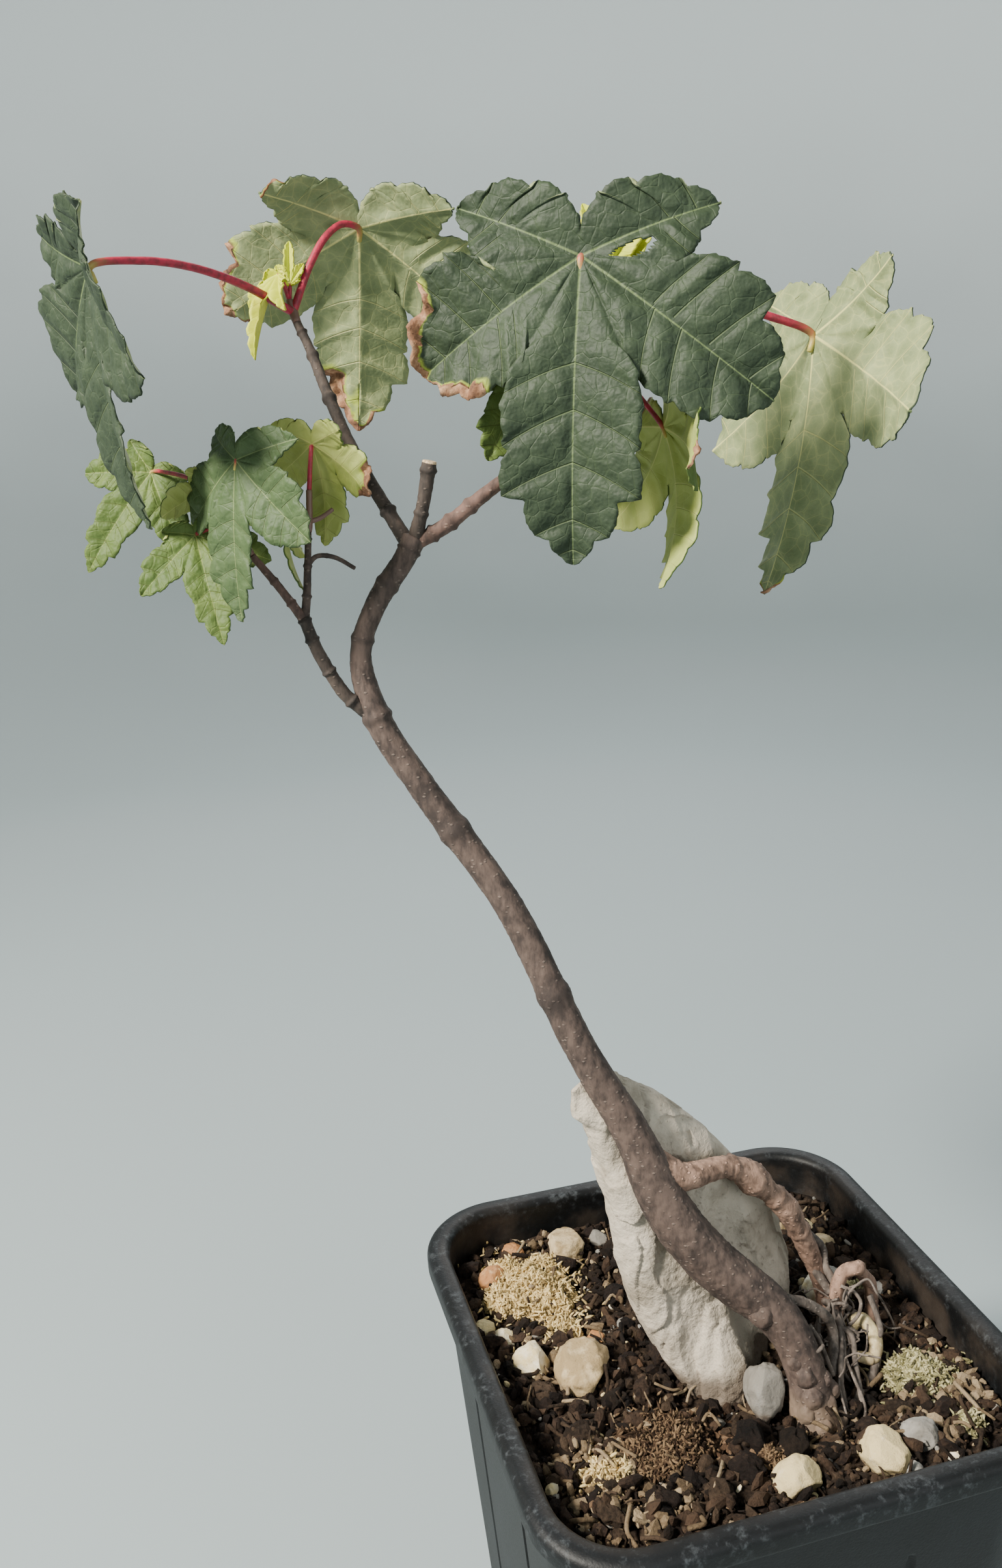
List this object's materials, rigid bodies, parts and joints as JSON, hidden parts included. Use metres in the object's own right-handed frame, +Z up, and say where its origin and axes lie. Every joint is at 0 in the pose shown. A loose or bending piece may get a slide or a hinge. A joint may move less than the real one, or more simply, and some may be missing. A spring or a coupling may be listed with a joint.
{
  "type": "potted sycamore maple bonsai",
  "caption": "Leaning sycamore maple sapling grown root-over-rock as a bonsai in a square black nursery pot with soil, pebbles and moss.",
  "frame": {"origin": "centre of the pot's flat underside", "axes": "+Z up, +X along the pot's front wall to the right, +Y from the front wall to the back wall"},
  "size_m": [0.1705, 0.1461, 0.3544],
  "materials": {
    "pot_plastic": "black polypropylene, satin, scuffed grey on the rim",
    "soil": "loose brown potting mix with bark crumbs and grit",
    "slate": "pale grey matt rock",
    "pebble": "white, tan and grey gravel, matt",
    "moss": "dry yellow-grey moss",
    "bark": "grey-brown bark, slightly rough",
    "root_bark": "pinkish brown root bark",
    "leaves": "dark green above, pale green below, brown burnt margins",
    "young_leaves": "yellow-green young leaves with reddish stalks"
  },
  "bodies": {
    "root": {"pot": "pot_plastic", "stone_01": "pebble", "stone_02": "pebble", "stone_03": "pebble", "stone_04": "pebble", "stone_05": "pebble", "stone_06": "pebble", "stone_07": "pebble", "stone_08": "pebble", "stone_09": "pebble", "stone_10": "pebble", "stone_11": "pebble", "moss_1": "moss", "moss_2": "moss", "moss_3": "moss", "moss_4": "moss", "soil": "soil", "rock": "slate", "trunk": "bark", "over_rock_root": "root_bark", "fine_roots": "root_bark", "pale_root": "root_bark", "left_leader": "bark", "cut_stub": "bark", "right_bough": "bark", "side_branch": "bark", "side_upright_twig": "bark", "side_left_twig": "bark", "bare_twig": "bark", "left_foliage": "leaves", "right_foliage": "leaves", "side_left_foliage": "young_leaves", "side_upright_foliage": "young_leaves"}
  },
  "joints": []
}
